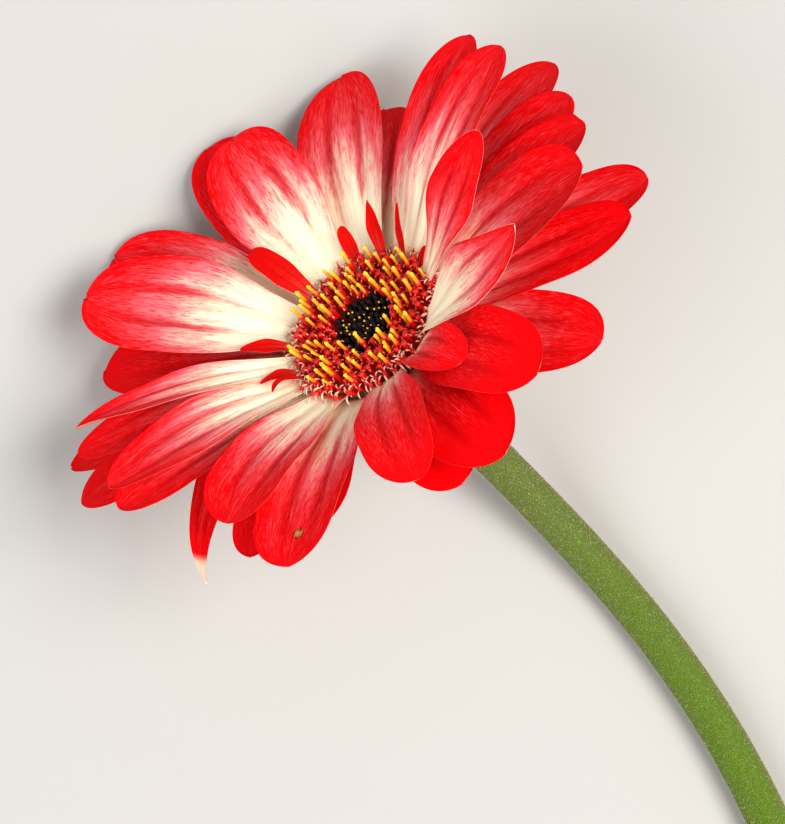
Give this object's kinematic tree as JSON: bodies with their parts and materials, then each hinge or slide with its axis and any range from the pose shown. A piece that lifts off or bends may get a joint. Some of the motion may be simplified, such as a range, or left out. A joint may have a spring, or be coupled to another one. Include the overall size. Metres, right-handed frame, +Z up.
{
  "type": "cut gerbera",
  "caption": "Cut daisy-type flower lying down: ring of long ray petals round a disc of small florets, green cup and bracts, and a bare curved stem.",
  "frame": {"origin": "bottom centre of the whole flower's bounding box, on the surface it lies on", "axes": "+X along the flower's length from the stem's cut end towards the head, +Z up from the surface, +Y to the left seen from the cut end"},
  "size_m": [0.2816, 0.095, 0.0713],
  "materials": {
    "ray_petals": "soft satin petal, red fading to cream at the root",
    "inner_straps": "soft satin petal, deep red",
    "disc_florets": "matt, deep red tubes with yellow anthers",
    "disc_eye": "matt, near-black buds",
    "bracts": "matt, finely hairy green",
    "stem": "matt, finely hairy yellow-green"
  },
  "bodies": {
    "root": {"ray_petal_01": "ray_petals", "ray_petal_02": "ray_petals", "ray_petal_03": "ray_petals", "ray_petal_04": "ray_petals", "ray_petal_05": "ray_petals", "ray_petal_06": "ray_petals", "ray_petal_07": "ray_petals", "ray_petal_08": "ray_petals", "ray_petal_09": "ray_petals", "ray_petal_10": "ray_petals", "ray_petal_11": "ray_petals", "ray_petal_12": "ray_petals", "ray_petal_13": "ray_petals", "ray_petal_14": "ray_petals", "ray_petal_15": "ray_petals", "ray_petal_16": "ray_petals", "ray_petal_17": "ray_petals", "ray_petal_18": "ray_petals", "ray_petal_19": "ray_petals", "ray_petal_20": "ray_petals", "ray_petal_21": "ray_petals", "ray_petal_22": "ray_petals", "ray_petal_23": "ray_petals", "ray_petal_24": "ray_petals", "ray_petal_25": "ray_petals", "ray_petal_26": "ray_petals", "ray_petal_27": "ray_petals", "ray_petal_28": "ray_petals", "ray_petal_29": "ray_petals", "ray_petal_30": "ray_petals", "ray_petal_31": "ray_petals", "ray_petal_32": "ray_petals", "ray_petal_33": "ray_petals", "ray_petal_34": "ray_petals", "ray_petal_35": "ray_petals", "ray_petal_36": "ray_petals", "inner_strap_01": "inner_straps", "inner_strap_02": "inner_straps", "inner_strap_03": "inner_straps", "inner_strap_04": "inner_straps", "inner_strap_05": "inner_straps", "inner_strap_06": "inner_straps", "inner_strap_07": "inner_straps", "inner_strap_08": "inner_straps", "receptacle_cup": "bracts", "bract_01": "bracts", "bract_02": "bracts", "bract_03": "bracts", "bract_04": "bracts", "bract_05": "bracts", "bract_06": "bracts", "bract_07": "bracts", "bract_08": "bracts", "bract_09": "bracts", "bract_10": "bracts", "disc_eye": "disc_eye", "disc_florets_inner": "disc_florets", "disc_florets_outer": "disc_florets", "stem": "stem"}
  },
  "joints": []
}
